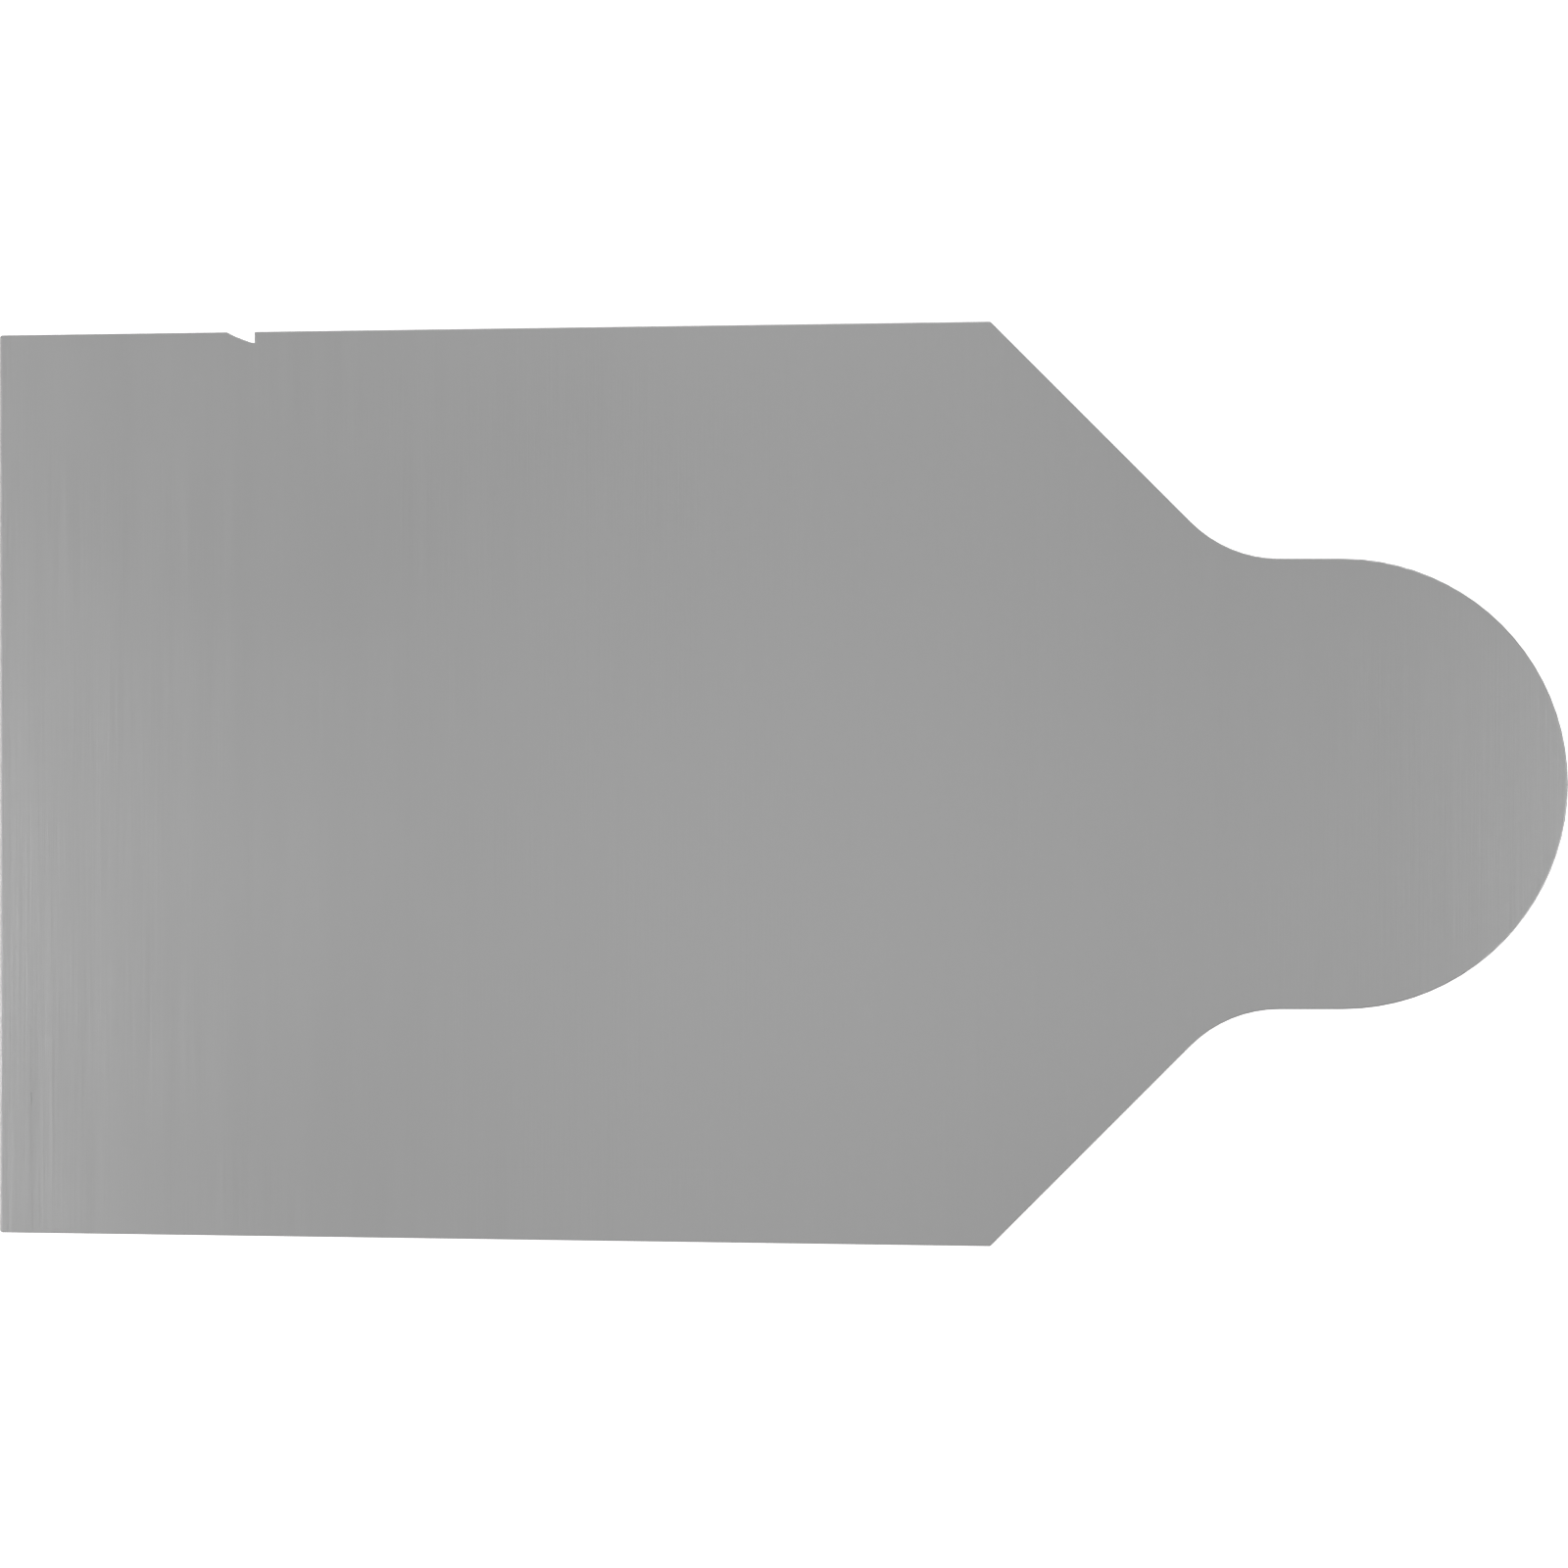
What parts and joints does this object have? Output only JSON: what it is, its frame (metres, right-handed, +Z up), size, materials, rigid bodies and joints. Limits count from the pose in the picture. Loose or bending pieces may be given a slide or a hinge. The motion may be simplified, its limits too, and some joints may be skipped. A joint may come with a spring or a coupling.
{
  "type": "mortar hawk",
  "caption": "Mortar hawk: thin stainless blade with straight front edge, 45 degree flanks and rounded tail, on an upright turned wooden handle that unscrews from a centre stud.",
  "frame": {"origin": "centre of the flat foot at the bottom end of the handle", "axes": "+Z up along the handle towards the blade, +X from the straight front edge towards the rounded tail, +Y to the long edge that has the nick"},
  "size_m": [0.3556, 0.2096, 0.132],
  "materials": {
    "stainless": "satin",
    "stainless_stud": "satin",
    "zinc_steel": "satin",
    "nylon": "satin",
    "foam": "matte",
    "fibre": "matte",
    "ferrule_steel": "gloss",
    "brass": "satin",
    "beech": "satin",
    "pin_steel": "satin"
  },
  "bodies": {
    "blade_unit": {"blade": "stainless", "mounting_plate": "zinc_steel", "weld_studs": "stainless_stud", "flat_washers": "zinc_steel", "lock_nuts": "zinc_steel", "nylon_rings": "nylon", "handle_stud": "zinc_steel", "toothed_washer": "zinc_steel", "jam_nut": "zinc_steel"},
    "pad": {"callus_pad": "foam"},
    "handle": {"grip": "beech", "ferrule": "ferrule_steel", "thrust_washer": "fibre", "threaded_insert": "brass", "cross_pin": "pin_steel"}
  },
  "joints": [
    {"name": "handle_withdraw", "type": "slide", "parent": "blade_unit", "child": "pad", "axis": [0, 0, -1], "range_m": [0, 0.015]},
    {"name": "handle_unscrew", "type": "hinge", "parent": "pad", "child": "handle", "pos_m": [0, 0, 0.1], "axis": [0, 0, -1], "range_deg": [0, 3600]}
  ],
  "couplings": [
    {"joint": "handle_unscrew", "follows": "handle_withdraw", "rad_per_m": 4188.8}
  ]
}
